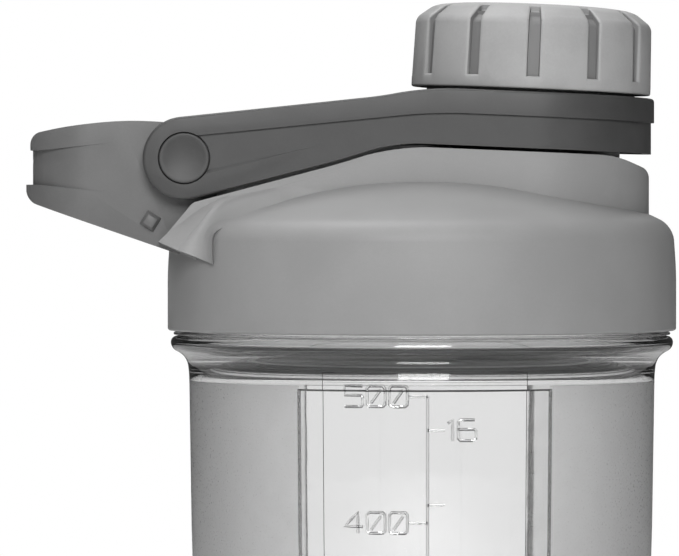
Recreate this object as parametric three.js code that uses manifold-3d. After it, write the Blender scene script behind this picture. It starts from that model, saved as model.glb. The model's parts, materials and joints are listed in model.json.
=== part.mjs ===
// A protein shaker bottle: a clear graduated cup, a screw lid with a drinking spout, a carry loop,
// and a ribbed screw cap held by a strap that swings about two pins on the lid.
// Millimetres, +Z up. The origin is the centre of the underside, on the cup's axis.
import * as THREE from "three";
import { ConvexGeometry } from "three/addons/geometries/ConvexGeometry.js";
import { mergeVertices } from "three/addons/utils/BufferGeometryUtils.js";
import Module from "manifold-3d";

const wasm = await Module();
wasm.setup();
const { PI, sin, cos, tan } = Math;
const rad = PI / 180;

// ---- driving dimensions ----
const lidZ = 128.2; // the lid's lower edge above the table
const deckZ = 31.0; // the lid's raised top above the lid's edge, on the spout's axis
const spoutX = 18.6; // the spout's axis from the cup's axis
const spoutLean = 2.4; // degrees that the spout leans away from the carry loop
const pivot = { x: -41, z: 29.9 }; // the strap's pins, above the lid's edge
const roundSides = 48; // sides of the large round parts
const fit = 0.3; // clearance between pieces that touch
const wall = 1.8; // cup wall

const cup = { footR: 33.5, lowR: 36.8, lowZ: 5, shoulderR: 40.2, bodyR: 40.7, floor: 2.4 };
const cupZ = { shoulder: lidZ - 40, body: lidZ - 7.3, flange: lidZ - 0.3, rim: lidZ + 14 };
const beadR = 43.9; // the bead round the cup under the lid
const neck = { r: 40.3, innerR: 38.4 };
const panel = { halfAngle: 32, depth: 0.6, z0: 12, z1: lidZ - 9.2 };
const cupThread = { lead: 8, sectionR: 1.2, z: 3.2, turns: 1.1 };

const lid = { r: 44.45, innerR: 42, seatR: 36.5, seatZ: 16.8, domeR: 39.4, domeZ: 20.5, apexZ: 27.5 };
const shell = 2.2; // wall of the lid's raised top
const gasket = { r0: 37, r1: 41.6, z0: 14.3, z1: 16.5 };
const deckR = 21.1; // half the width of the raised top, and the radius of its front end
const ramp = { x0: -39.5, z0: 22.3, x1: -13, z1: 29.3, rearX: -45.3, rearZ: 15.4 };
const pad = { x0: -31, x1: -4, halfWidth: 17.5, height: 1.1 }; // the raised strip between the strap's arms
const spout = { baseR: 16, r: 15.3, tipR: 13.6, boreR: 12, top: 20 };
const capThread = { lead: 4, sectionR: 0.7, turns: 0.75 };

const loop = { inner: 14.2, outer: 17.5, rootX: -35.5, endX: -69, cornerR: 11, groove: 1.2 };
const ear = { inner: 9, r: 5.6 }; // the two ears that stand between the loop's legs
const strap = { inner: 18.1, outer: 22, ringR: 18.6, endR: 7.1, z0: 0.6, z1: 10.3, lift: 0.7 };
const pin = { r: 2.2, headR: 4.35, headT: 1.2, dishR: 9, dishDepth: 0.8 };
const insert = { r: 18.2, boreR: 17.4, flangeR: 19.6, flangeT: 1.3, z0: 1, top: 23.6, ceiling: 22.1 };
const seal = { r: 16.2, z0: 20.3, z1: 21.8 };
const cap = { r: 20.9, z0: 10.8, top: 25.7, roof: 23.9, edgeR: 16.4 };
const rib = { count: 12, width: 3, depth: 1.1, z0: 12.5, phase: -1.2 };
const capRise = 3; // how far the cap unscrews inside the strap's ring
const agitator = { r: 19.8, height: 34, poleR: 8, hubR: 6.5, fins: 8, finT: 3.2, nubR: 1.6 };

// ---- materials ----
const plastic = (color, roughness) => new THREE.MeshStandardMaterial({ color, roughness, metalness: 0 });
const lidGrey = plastic(0xa6a7a9, 0.5);
const loopGrey = plastic(0x77787a, 0.5);
const strapGrey = plastic(0x4f5052, 0.45);
const silicone = plastic(0xd8d8d6, 0.7);
const agitatorGrey = plastic(0xb3b0ac, 0.45);
const clear = plastic(0xe8ecee, 0.06);
clear.transparent = true;
clear.opacity = 0.35;

// ---- solids ----
// A closed geometry as a solid that can be cut and joined.
function solid(geometry) {
  const plain = geometry.clone();
  plain.deleteAttribute("normal");
  plain.deleteAttribute("uv");
  const merged = mergeVertices(plain, 1e-4);
  const vertProperties = new Float32Array(merged.attributes.position.array);
  const triVerts = new Uint32Array(merged.index.array);
  return new wasm.Manifold(new wasm.Mesh({ numProp: 3, vertProperties, triVerts }));
}

// A finished solid as a named mesh of the scene.
function piece(name, made, material) {
  const { vertProperties, triVerts } = made.getMesh();
  const geometry = new THREE.BufferGeometry();
  geometry.setAttribute("position", new THREE.BufferAttribute(new Float32Array(vertProperties), 3));
  geometry.setIndex(new THREE.BufferAttribute(new Uint32Array(triVerts), 1));
  const mesh = new THREE.Mesh(geometry, material);
  mesh.name = name;
  return mesh;
}

const join = (...solids) => solids.reduce((a, b) => a.add(b));
const cut = (body, ...tools) => tools.reduce((a, b) => a.subtract(b), body);
const bothSides = (made) => join(made, made.mirror([0, 1, 0]));
const outline = (...corners) => new THREE.Shape(corners.map(([x, y]) => new THREE.Vector2(x, y)));

// A solid of revolution about +Z from an anticlockwise outline of radius and height.
function revolve(shape, sides = roundSides, curveSteps = 3) {
  const profile = shape.getPoints(curveSteps);
  if (!profile[0].equals(profile.at(-1))) profile.push(profile[0].clone());
  return solid(new THREE.LatheGeometry(profile, sides).rotateX(PI / 2));
}

const tube = (r0, r1, z0, z1, sides) => revolve(outline([r0, z0], [r1, z0], [r1, z1], [r0, z1]), sides);
const disc = (r, z0, z1, sides) => tube(0, r, z0, z1, sides);

// A plan outline pushed up from z0 to z1.
function prism(shape, z0, z1, curveSegments = 12) {
  const options = { depth: z1 - z0, bevelEnabled: false, curveSegments };
  return solid(new THREE.ExtrudeGeometry(shape, options).translate(0, 0, z0));
}

// A side outline of x and z pushed across from y0 to y1.
function acrossY(shape, y0, y1, curveSegments = 6) {
  const options = { depth: y1 - y0, bevelEnabled: false, curveSegments };
  return solid(new THREE.ExtrudeGeometry(shape, options).rotateX(PI / 2).translate(0, y1, 0));
}

// A round bar along Y, on the strap's pivot line.
function pivotBar(r, y0, y1, sides = 24) {
  const bar = new THREE.CylinderGeometry(r, r, y1 - y0, sides);
  return solid(bar.translate(pivot.x, (y0 + y1) / 2, pivot.z));
}

const hull = (corners) => solid(new ConvexGeometry(corners.map((c) => new THREE.Vector3(...c))));

class Helix extends THREE.Curve {
  constructor(r, z, lead, turns, startAngle) {
    super();
    Object.assign(this, { r, z, lead, turns, startAngle });
  }
  getPoint(t, target = new THREE.Vector3()) {
    const angle = this.startAngle + t * this.turns * 2 * PI;
    return target.set(this.r * cos(angle), this.r * sin(angle), this.z + t * this.turns * this.lead);
  }
}

// A rounded thread ridge, half sunk in the wall that it stands on.
function threadRidge(r, z, { lead, sectionR, turns }, startAngle = 0) {
  const section = new THREE.Shape().absarc(0, 0, sectionR, 0, 2 * PI);
  const extrudePath = new Helix(r, z, lead, turns, startAngle);
  return solid(new THREE.ExtrudeGeometry(section, { extrudePath, steps: Math.round(turns * 24), curveSegments: 3 }));
}

// Turns and moves a solid from the spout's frame into the lid's frame.
const onSpout = (made) => made.rotate([0, spoutLean, 0]).translate([spoutX, 0, deckZ]);

// ---- the cup, in the bottle's frame ----
function cupBody() {
  const { footR, lowR, lowZ, shoulderR, bodyR, floor } = cup;
  const { shoulder, body, flange, rim } = cupZ;
  const shape = outline([0, 0], [12, 0], [13, 1], [27, 1], [28, 0], [footR, 0]);
  shape.quadraticCurveTo(lowR - 0.3, 0, lowR, lowZ);
  shape.lineTo(shoulderR, shoulder);
  shape.lineTo(bodyR, body);
  shape.lineTo(41.1, body + 2);
  shape.quadraticCurveTo(41.5, body + 3.2, 42.8, body + 3.9);
  shape.quadraticCurveTo(beadR, body + 4.6, beadR, body + 5.4);
  shape.quadraticCurveTo(beadR, body + 6.3, 42.7, body + 6.4);
  shape.lineTo(43.3, body + 6.6);
  shape.lineTo(43.3, flange);
  shape.lineTo(neck.r, flange);
  shape.lineTo(neck.r, rim - 0.5);
  shape.lineTo(neck.r - 0.5, rim);
  shape.lineTo(neck.innerR, rim);
  shape.lineTo(neck.innerR, body + 3);
  shape.lineTo(bodyR - wall, body);
  shape.lineTo(shoulderR - wall, shoulder);
  shape.lineTo(lowR - wall, lowZ + floor);
  shape.quadraticCurveTo(lowR - wall, floor, lowR - wall - lowZ, floor);
  shape.lineTo(0, floor);
  return revolve(shape);
}

// The flat-bottomed recess of one graduated panel, centred on a compass direction.
function panelRecess(direction) {
  const { halfAngle, depth, z0, z1 } = panel;
  const { lowR, lowZ, shoulderR, bodyR } = cup;
  const from = (direction - halfAngle) * rad;
  const to = (direction + halfAngle) * rad;
  const sector = new THREE.Shape().absarc(0, 0, bodyR + 3, from, to, false);
  sector.absarc(0, 0, lowR - 5, to, from, true);
  const outside = revolve(
    outline(
      [lowR - depth, lowZ], [bodyR + 5, lowZ], [bodyR + 5, cupZ.body], [bodyR - depth, cupZ.body],
      [shoulderR - depth, cupZ.shoulder],
    ),
  );
  return prism(sector, z0, z1).intersect(outside);
}

function makeCup() {
  const ridge = threadRidge(neck.r, lidZ + cupThread.z, cupThread);
  const body = join(cupBody(), ridge);
  return piece("cup", cut(body, panelRecess(-90), panelRecess(90)), clear);
}

// ---- the lid, in the lid's frame ----
const deckAt = (x) => deckZ - (x - spoutX) * tan(spoutLean * rad);

// The side of the raised top, lowered by drop: rear face, ramp and deck.
function raisedSide(drop, floorZ, rear = true) {
  const { x0, z0, x1, z1, rearX, rearZ } = ramp;
  const side = new THREE.Shape();
  const startX = x0 + shell * 2;
  side.moveTo(rear ? -38 : startX, floorZ);
  side.lineTo(50, floorZ);
  side.lineTo(50, deckAt(50) - drop);
  side.lineTo(2, deckAt(2) - drop);
  side.quadraticCurveTo(-5, deckAt(-5) - drop, x1, z1 - drop);
  if (rear) {
    side.lineTo(x0, z0 - drop);
    side.lineTo(rearX, rearZ - drop);
  } else {
    side.lineTo(startX, z0 - drop + ((startX - x0) * (z1 - z0)) / (x1 - x0));
  }
  return side;
}

// The raised top's plan: straight sides and a round front end about the spout.
function raisedPlan(r, rearX) {
  const plan = new THREE.Shape().moveTo(rearX, -r);
  plan.lineTo(spoutX, -r);
  plan.absarc(spoutX, 0, r, -PI / 2, PI / 2, false);
  plan.lineTo(rearX, r);
  return plan;
}

function raisedTop() {
  const edge = 0.8; // the raised top's softened upper edge
  const upper = prism(raisedPlan(deckR - edge, ramp.rearX), 12, 45).intersect(acrossY(raisedSide(0, 12), -30, 30));
  const lower = prism(raisedPlan(deckR, ramp.rearX), 12, 45).intersect(acrossY(raisedSide(edge, 12), -30, 30));
  // the pad between the strap's arms fills the view under them
  const { halfWidth, height, x0, x1 } = pad;
  const padPlan = prism(outline([x0, -halfWidth], [x1, -halfWidth], [x1, halfWidth], [x0, halfWidth]), 20, 45);
  return join(upper, lower, padPlan.intersect(acrossY(raisedSide(-height, 20), -30, 30)));
}

// The flared cheek outside the carry loop's leg. It stands proud of the band at its lower front edge.
function cheek() {
  const y0 = loop.outer + fit;
  const { x0, z0, rearX, rearZ } = ramp;
  return hull([
    [x0, y0, z0], [x0, deckR, z0], [rearX, y0, rearZ], [rearX, 21.5, rearZ], [-42.2, 23, 14.1],
    [-36, y0, 11.8], [-36, 26.9, 11.8], [-36, 26.4, 17.2], [-20, y0, 24.5], [-20, deckR, 24.5],
  ]);
}

function ears() {
  const shape = outline([-42, 14], [-28, 14], [-28, 25]);
  shape.lineTo(pivot.x + 4.4, pivot.z + 3.5);
  shape.absarc(pivot.x, pivot.z, ear.r, 38 * rad, PI, false);
  return bothSides(acrossY(shape, ear.inner, loop.inner - fit));
}

function makeLid() {
  const { r, innerR, seatR, seatZ, domeR, domeZ, apexZ } = lid;
  const outside = outline([0, -1], [innerR - 1, -1], [innerR - 1, 0], [r - 0.4, 0], [r, 0.4], [r, 10.9]);
  outside.lineTo(44.15, 14.6);
  outside.quadraticCurveTo(43.9, 18.6, domeR, domeZ);
  outside.lineTo(deckR, 26.1);
  outside.lineTo(0, apexZ);
  const inside = outline([0, -2], [innerR, -2], [innerR, seatZ], [seatR, seatZ], [seatR, domeZ - 1.4]);
  inside.lineTo(deckR, 26.1 - shell);
  inside.lineTo(0, apexZ - shell);
  const hollow = prism(raisedPlan(deckR - shell, -34), 12, 45).intersect(
    acrossY(raisedSide(shell, 12, false), -30, 30),
  );
  const spoutWall = onSpout(
    revolve(
      outline([0, -4], [spout.baseR, -4], [spout.baseR, 1], [spout.r, 2], [spout.r, 10], [spout.tipR, spout.top],
        [0, spout.top]),
    ),
  );
  const spoutRidge = onSpout(threadRidge(spout.r, 5, capThread, PI / 2));
  const bore = onSpout(disc(spout.boreR, -9, spout.top + 1));
  const pinHoles = bothSides(pivotBar(pin.r + 0.1, ear.inner - 1, loop.inner));
  const legSlots = bothSides(
    acrossY(
      outline([-50, 0], [loop.rootX + fit, 0], [loop.rootX + fit, 40], [-50, 40]),
      loop.inner - fit,
      loop.outer + fit,
    ),
  );
  const upper = cut(join(raisedTop(), bothSides(cheek()), ears()), legSlots, pinHoles);
  const solidLid = join(revolve(outside), upper, spoutWall, spoutRidge);
  const hollowLid = cut(solidLid, revolve(inside), hollow, bore);
  const ridgeGap = 2 * cupThread.sectionR + 0.4; // the lid's ridge runs this far under the neck's
  const ridge = threadRidge(innerR, cupThread.z + cupThread.lead / 2 - ridgeGap, { ...cupThread, turns: 0.9 }, PI);
  return piece("lid_shell", join(hollowLid, ridge.intersect(disc(r - 0.6, 0.2, seatZ))), lidGrey);
}

// ---- the carry loop ----
function loopPlan(inset, rearX = loop.endX) {
  const half = loop.outer - inset;
  const cornerR = loop.cornerR - inset;
  const endX = rearX + inset;
  const plan = new THREE.Shape().moveTo(loop.rootX, -half);
  plan.lineTo(loop.rootX, half);
  plan.lineTo(endX + cornerR, half);
  plan.absarc(endX + cornerR, half - cornerR, cornerR, PI / 2, PI, false);
  plan.absarc(endX + cornerR, cornerR - half, cornerR, PI, 1.5 * PI, false);
  return plan;
}

function loopSide() {
  const side = new THREE.Shape().moveTo(loop.rootX, 22);
  side.lineTo(loop.rootX, 31);
  side.quadraticCurveTo(-38, 36.2, -46.5, 36.3);
  side.quadraticCurveTo(-58, 36.1, -66.4, 34.3);
  side.quadraticCurveTo(-68.3, 33.6, -67.9, 31.2);
  side.lineTo(-67.3, 28.6);
  side.lineTo(-68.9, 26.2);
  side.quadraticCurveTo(-69.2, 23, -66.4, 21.8);
  side.lineTo(-42, 13.4);
  return side;
}

function makeLoop() {
  const thickness = loop.outer - loop.inner;
  const body = prism(loopPlan(0), 8, 40, 8).intersect(acrossY(loopSide(), -25, 25, 5));
  const opening = prism(loopPlan(thickness), 7, 41, 8);
  const rearRoom = prism(outline([loop.rootX - 4, -loop.inner], [loop.rootX + 4, -loop.inner],
    [loop.rootX + 4, loop.inner], [loop.rootX - 4, loop.inner]), 7, 41);
  // the channel that runs round the loop's outside, deepest at the rear
  const channelSide = outline([-80, 25.4], [-66.5, 25.4], [-49.5, 22.5], [-49.5, 33.2], [-66, 31.3], [-80, 31.3]);
  const channel = cut(prism(loopPlan(-6), 8, 40, 8), prism(loopPlan(loop.groove), 7, 41, 8)).intersect(
    acrossY(channelSide, -30, 30),
  );
  const lidRoom = join(
    disc(lid.r + fit, -2, 15.4),
    revolve(outline([0, 0], [44.6, 15.4], [44.3, 18.6], [lid.domeR + 0.4, lid.domeZ + 0.6], [0, 32])),
  );
  const nubY = loop.outer - 0.4;
  const nub = hull([
    [-48.2, nubY, 19.1], [-46.9, nubY, 17.6], [-45.6, nubY, 19.1], [-46.9, nubY, 20.6],
    [-47.5, nubY + 1.8, 19.1], [-46.9, nubY + 1.8, 18.4], [-46.3, nubY + 1.8, 19.1], [-46.9, nubY + 1.8, 19.8],
  ]);
  const made = cut(body, opening, rearRoom, channel, lidRoom, pivotBar(pin.r + 0.1, -25, 25));
  return piece("carry_loop", join(made, bothSides(nub)), loopGrey);
}

// ---- the cap's strap ----
function strapSide() {
  const { endR, z0, z1, lift } = strap;
  const side = new THREE.Shape();
  side.absarc(pivot.x, pivot.z, endR, 96 * rad, 285 * rad, false);
  side.lineTo(ramp.x1, ramp.z1 + lift);
  side.quadraticCurveTo(-5, deckAt(-5) + z0, 2, deckAt(2) + z0);
  side.lineTo(50, deckAt(50) + z0);
  side.lineTo(50, deckAt(50) + z1);
  side.lineTo(6, deckAt(6) + z1);
  side.quadraticCurveTo(0, deckAt(0) + z1, -7, 40.6);
  return side;
}

function makeStrap() {
  const { inner, outer, ringR, endR } = strap;
  const armEnd = pivot.x - endR - 1;
  const body = prism(raisedPlan(outer, armEnd), 15, 50).intersect(acrossY(strapSide(), -30, 30));
  const betweenArms = prism(
    outline([armEnd - 1, -inner], [spoutX, -inner], [spoutX, inner], [armEnd - 1, inner]), 14, 51,
  );
  const ringTube = onSpout(tube(ringR, outer, -1, 20));
  const flangeRoom = onSpout(disc(insert.flangeR + 0.5, -5, insert.z0 + insert.flangeT + capRise + 0.4));
  const bore = onSpout(disc(ringR, -5, 20));
  const headRoom = bothSides(pivotBar(pin.headR + fit, outer - pin.headT - fit, outer + 2, 32));
  const ring = body.intersect(ringTube);
  const made = cut(join(cut(body, betweenArms), ring), bore, flangeRoom, pivotBar(pin.r + fit, -30, 30), headRoom);
  return piece("cap_strap", made, strapGrey);
}

function makePin(name, mirrored) {
  const { r, headR, headT, dishR, dishDepth } = pin;
  const face = strap.outer - 0.1;
  const dish = new THREE.SphereGeometry(dishR, 32, 24).rotateX(PI / 2);
  dish.translate(pivot.x, face + dishR - dishDepth, pivot.z);
  const made = cut(join(pivotBar(r, ear.inner, face - 0.9), pivotBar(headR, face - headT, face, 32)), solid(dish));
  return piece(name, mirrored ? made.mirror([0, 1, 0]) : made, strapGrey);
}

// ---- the screw cap, in the spout's frame ----
function makeCapGrip() {
  const { r, z0, top, roof, edgeR } = cap;
  const shape = outline([insert.r + 0.1, z0], [r, z0], [r, top - 4]);
  shape.quadraticCurveTo(r - 0.5, top - 1.6, r - 2.6, top - 1.1);
  shape.quadraticCurveTo(edgeR, top - 0.2, edgeR - 2, top - 0.1);
  shape.lineTo(0, top);
  shape.lineTo(0, roof);
  shape.lineTo(insert.r + 0.1, roof);
  let made = revolve(shape, 66);
  for (let i = 0; i < rib.count; i++) {
    const groove = new THREE.BoxGeometry(8, rib.width, 30).translate(r - rib.depth + 4, 0, rib.z0 + 15);
    groove.rotateZ((270 + rib.phase + (i * 360) / rib.count) * rad);
    made = cut(made, solid(groove));
  }
  return piece("cap_grip", made, lidGrey);
}

function makeCapInsert() {
  const { r, boreR, flangeR, flangeT, z0, top, ceiling } = insert;
  const shape = outline(
    [boreR, z0], [flangeR, z0], [flangeR, z0 + flangeT], [r, z0 + flangeT], [r, top], [0, top], [0, ceiling],
    [boreR, ceiling],
  );
  const ridge = threadRidge(boreR, 5 + capThread.lead / 2 - 2.2, capThread, -PI / 2);
  return piece("cap_insert", join(revolve(shape), ridge.intersect(disc(r - 0.1, 2, 20))), lidGrey);
}

function makeCapSeal() {
  return piece("cap_seal", disc(seal.r, seal.z0, seal.z1), silicone);
}

// ---- the agitator, on its pole on the cup's floor ----
function makeAgitator() {
  const { r, height, poleR, hubR, fins, finT, nubR } = agitator;
  const half = height / 2;
  const bladeShape = new THREE.Shape().moveTo(-poleR, -half);
  bladeShape.lineTo(poleR, -half);
  bladeShape.quadraticCurveTo(r, -half * 0.75, r, 0);
  bladeShape.quadraticCurveTo(r, half * 0.75, poleR, half);
  bladeShape.lineTo(-poleR, half);
  bladeShape.quadraticCurveTo(-r, half * 0.75, -r, 0);
  bladeShape.quadraticCurveTo(-r, -half * 0.75, -poleR, -half);
  const blade = acrossY(bladeShape, -finT / 2, finT / 2);
  const hubShape = outline([0, -half], [poleR, -half], [hubR, -half * 0.6], [hubR, half * 0.6], [poleR, half],
    [0, half]);
  let made = revolve(hubShape, 32);
  for (let i = 0; i < fins; i++) {
    const angle = (i * 360) / fins;
    if (i < fins / 2) made = made.add(blade.rotate([0, 0, angle]));
    made = made.add(disc(nubR, 0, hubR + 2, 12).rotate([0, 90, angle + 180 / fins]));
  }
  return piece("agitator", made.translate([0, 0, cup.floor + fit + half]), agitatorGrey);
}

// ---- the assembly ----
const screwCap = new THREE.Group();
screwCap.add(makeCapGrip(), makeCapInsert(), makeCapSeal());
screwCap.rotation.y = spoutLean * rad;
screwCap.position.set(spoutX, 0, deckZ);

const lidAssembly = new THREE.Group();
lidAssembly.add(
  makeLid(),
  piece("lid_gasket", tube(gasket.r0, gasket.r1, gasket.z0, gasket.z1), silicone),
  makeLoop(),
  makeStrap(),
  makePin("pivot_pin_rear", false),
  makePin("pivot_pin_front", true),
  screwCap,
);
lidAssembly.position.z = lidZ;

const shaker = new THREE.Group();
shaker.add(makeCup(), makeAgitator(), lidAssembly);

export default shaker;
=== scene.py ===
import json
import math

import bpy
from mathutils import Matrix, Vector


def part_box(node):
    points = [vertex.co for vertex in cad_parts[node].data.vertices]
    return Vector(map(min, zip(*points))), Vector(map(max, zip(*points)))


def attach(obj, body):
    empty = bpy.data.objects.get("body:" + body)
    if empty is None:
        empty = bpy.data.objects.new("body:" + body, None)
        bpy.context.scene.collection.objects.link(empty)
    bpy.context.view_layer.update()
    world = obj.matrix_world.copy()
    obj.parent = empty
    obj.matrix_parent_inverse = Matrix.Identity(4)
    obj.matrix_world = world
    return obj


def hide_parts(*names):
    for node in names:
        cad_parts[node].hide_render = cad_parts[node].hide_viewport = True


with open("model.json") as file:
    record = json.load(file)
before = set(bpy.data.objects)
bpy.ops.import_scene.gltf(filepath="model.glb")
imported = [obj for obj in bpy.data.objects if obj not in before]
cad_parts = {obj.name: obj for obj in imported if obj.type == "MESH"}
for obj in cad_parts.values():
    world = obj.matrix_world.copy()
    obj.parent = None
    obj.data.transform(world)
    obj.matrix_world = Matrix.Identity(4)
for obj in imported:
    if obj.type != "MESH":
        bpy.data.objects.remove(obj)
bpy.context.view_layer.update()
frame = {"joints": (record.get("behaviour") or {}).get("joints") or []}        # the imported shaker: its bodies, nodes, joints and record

mm = 0.001

# places that every piece is measured from, taken from the frame
joints = {joint["name"]: joint for joint in frame["joints"]}
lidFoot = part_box("lid_shell")[0][2] / mm          # the lid's lower edge above the table
spoutFoot = Vector(joints["cap_turn"]["pos_m"])   # where the spout's axis meets the raised top
spoutAxis = Vector(joints["cap_turn"]["axis"])
spoutLean = math.atan2(spoutAxis.x, spoutAxis.z)
spoutX = spoutFoot.x / mm
deckZ = spoutFoot.z / mm - lidFoot                # the raised top above the lid's edge, at the spout
pivot = Vector(joints["strap_swing"]["pos_m"]) / mm
pivotX, pivotZ = pivot.x, pivot.z - lidFoot


# ---- modelling helpers ----
def clearSelection():
    if bpy.context.mode != "OBJECT":
        bpy.ops.object.mode_set(mode="OBJECT")
    bpy.ops.object.select_all(action="DESELECT")
    bpy.context.tool_settings.mesh_select_mode = (True, False, False)


def choose(piece):
    clearSelection()
    piece.select_set(True)
    bpy.context.view_layer.objects.active = piece


# selects what passes the test, which is given a place in millimetres and, for a face, its normal
def pick(piece, kind, test):
    choose(piece)
    mesh = piece.data
    for parts in (mesh.vertices, mesh.edges, mesh.polygons):
        parts.foreach_set("select", [False] * len(parts))
    if kind == "VERT":
        for vertex in mesh.vertices:
            vertex.select = test(vertex.co / mm)
    else:
        for face in mesh.polygons:
            face.select = test(face.center / mm, face.normal)
    bpy.context.tool_settings.mesh_select_mode = (kind == "VERT", False, kind == "FACE")
    bpy.ops.object.mode_set(mode="EDIT")


def facesOut(co, normal):
    return normal.x * co.x + normal.y * co.y > 0


# how many degrees a spot is round from the middle of the front or the rear
def sideways(co):
    return math.degrees(math.atan2(abs(co.x), abs(co.y)))


# makes one mesh of several
def gather(pieces):
    clearSelection()
    for piece in pieces:
        piece.select_set(True)
    bpy.context.view_layer.objects.active = pieces[0]
    bpy.ops.object.join()
    return pieces[0]


# turns every face outward and leaves edit mode
def closeMesh():
    bpy.ops.mesh.select_all(action="SELECT")
    bpy.ops.mesh.normals_make_consistent(inside=False)
    bpy.ops.object.mode_set(mode="OBJECT")


# draws a line through places, one corner at a time
def drawLine(name, places, closed):
    clearSelection()
    bpy.ops.mesh.primitive_plane_add(size=mm)
    piece = bpy.context.object
    piece.name = piece.data.name = name
    bpy.ops.object.mode_set(mode="EDIT")
    bpy.ops.mesh.select_all(action="SELECT")
    bpy.ops.mesh.merge(type="CENTER")
    bpy.ops.transform.translate(value=places[0])
    for here, there in zip(places, places[1:] + places[:1] if closed else places[1:]):
        bpy.ops.mesh.extrude_region_move(TRANSFORM_OT_translate={"value": there - here})
    bpy.ops.mesh.select_all(action="SELECT")
    bpy.ops.mesh.remove_doubles(threshold=0.001 * mm)
    return piece


# an outline of corners in millimetres; a corner's third number rounds it off
def drawOutline(name, corners, plane, cornerSteps, closed=True):
    upright = plane == "XZ"
    places = [Vector((corner[0], 0, corner[1]) if upright else (*corner[:2], 0)) * mm for corner in corners]
    rounds = [corner[2] if len(corner) == 3 else 0 for corner in corners]
    piece = drawLine(name, places, closed)
    for i, spot in enumerate(places):
        if rounds[i]:
            # neighbouring rounds share the line between them
            room = min((places[j] - spot).length / mm * rounds[i] / (rounds[i] + rounds[j])
                       for j in (i - 1, (i + 1) % len(places)))
            pick(piece, "VERT", lambda co: (co * mm - spot).length < 0.005 * mm)
            bpy.ops.mesh.bevel(offset=min(rounds[i], 0.99 * room) * mm, segments=cornerSteps,
                               affect="VERTICES")
    bpy.ops.mesh.select_all(action="SELECT")
    bpy.ops.mesh.remove_doubles(threshold=0.002 * mm)
    return piece


# turns an outline of radius and height round the Z axis
def lathe(name, corners, steps=180, cornerSteps=6):
    onAxis = corners[0][0] == 0 and corners[-1][0] == 0
    piece = drawOutline(name, corners, "XZ", cornerSteps, not onAxis)
    bpy.ops.mesh.spin(steps=steps, angle=math.tau, center=(0, 0, 0), axis=(0, 0, 1))
    bpy.ops.mesh.select_all(action="SELECT")
    bpy.ops.mesh.remove_doubles(threshold=0.001 * mm)
    closeMesh()
    return piece


# fills an outline and pulls it along the third axis
def slab(name, corners, plane, low, high, cornerSteps=8):
    piece = drawOutline(name, corners, plane, cornerSteps)
    along = Vector((0, 1, 0)) if plane == "XZ" else Vector((0, 0, 1))
    bpy.ops.mesh.edge_face_add()
    bpy.ops.transform.translate(value=along * low * mm)
    bpy.ops.mesh.extrude_region_move(TRANSFORM_OT_translate={"value": along * (high - low) * mm})
    closeMesh()
    return piece


# skins closed ribs, one after the other, and closes both ends
def loft(name, ribs):
    piece = gather([drawLine(name, [Vector(place) * mm for place in rib], True) for rib in ribs])
    bpy.ops.object.mode_set(mode="EDIT")
    bpy.ops.mesh.select_all(action="SELECT")
    bpy.ops.mesh.bridge_edge_loops(type="SINGLE")
    bpy.ops.mesh.select_all(action="SELECT")
    bpy.ops.mesh.fill_holes(sides=0)
    closeMesh()
    return piece


# more ribs on a smooth path through the given ones
def moreRibs(ribs, between):
    result = []
    for i in range(len(ribs) - 1):
        sides = [ribs[max(i - 1, 0)], ribs[i], ribs[i + 1], ribs[min(i + 2, len(ribs) - 1)]]
        for step in range(between):
            t = step / between
            result.append([smoothPoint(*(Vector(rib[k]) for rib in sides), t) for k in range(len(ribs[0]))])
    return result + [[Vector(place) for place in ribs[-1]]]


def smoothPoint(before, start, end, after, t):
    first, last = (end - before) / 2, (after - start) / 2
    return ((2 * t ** 3 - 3 * t ** 2 + 1) * start + (t ** 3 - 2 * t ** 2 + t) * first
            + (3 * t ** 2 - 2 * t ** 3) * end + (t ** 3 - t ** 2) * last)


# points on a curve from the first place to the last that is drawn towards the two between
def curve(first, towards, near, last, steps):
    first, towards, near, last = map(Vector, (first, towards, near, last))
    shares = (k / steps for k in range(steps + 1))
    return [first * (1 - t) ** 3 + towards * 3 * t * (1 - t) ** 2 + near * 3 * t * t * (1 - t) + last * t ** 3
            for t in shares]


def applyModifier(piece, kind, **settings):
    choose(piece)
    modifier = piece.modifiers.new(kind.lower(), kind)
    for name, value in settings.items():
        setattr(modifier, name, value)
    bpy.ops.object.modifier_apply(modifier=modifier.name)
    return piece


def combine(piece, tools, how):
    for tool in tools:
        applyModifier(piece, "BOOLEAN", object=tool, operation=how, solver="MANIFOLD")
        bpy.data.objects.remove(tool)
    return piece


def join(piece, *tools):
    return combine(piece, tools, "UNION")


def cut(piece, *tools):
    return combine(piece, tools, "DIFFERENCE")


def overlap(piece, *tools):
    return combine(piece, tools, "INTERSECT")


def soften(piece, width, angle=35, segments=3):
    return applyModifier(piece, "BEVEL", width=width * mm, segments=segments, limit_method="ANGLE",
                         angle_limit=math.radians(angle), use_clamp_overlap=True)


def bothSides(piece):
    return applyModifier(piece, "MIRROR", use_axis=(False, True, False), use_mirror_merge=False)


def copyOf(piece):
    choose(piece)
    bpy.ops.object.duplicate(linked=False)
    return bpy.context.object


def moveTo(piece, place=(0, 0, 0), turn=(0, 0, 0)):
    choose(piece)
    piece.location = Vector(place)
    piece.rotation_euler = turn
    bpy.ops.object.transform_apply(location=True, rotation=True, scale=True)
    return piece


# from the lid's own frame, whose height 0 is the lid's lower edge
def onLid(piece):
    return moveTo(piece, (0, 0, lidFoot * mm))


# from the spout's frame, whose height 0 is the raised top, to the lid's frame
def onSpout(piece):
    return moveTo(piece, (spoutX * mm, 0, deckZ * mm), (0, spoutLean, 0))


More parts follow.
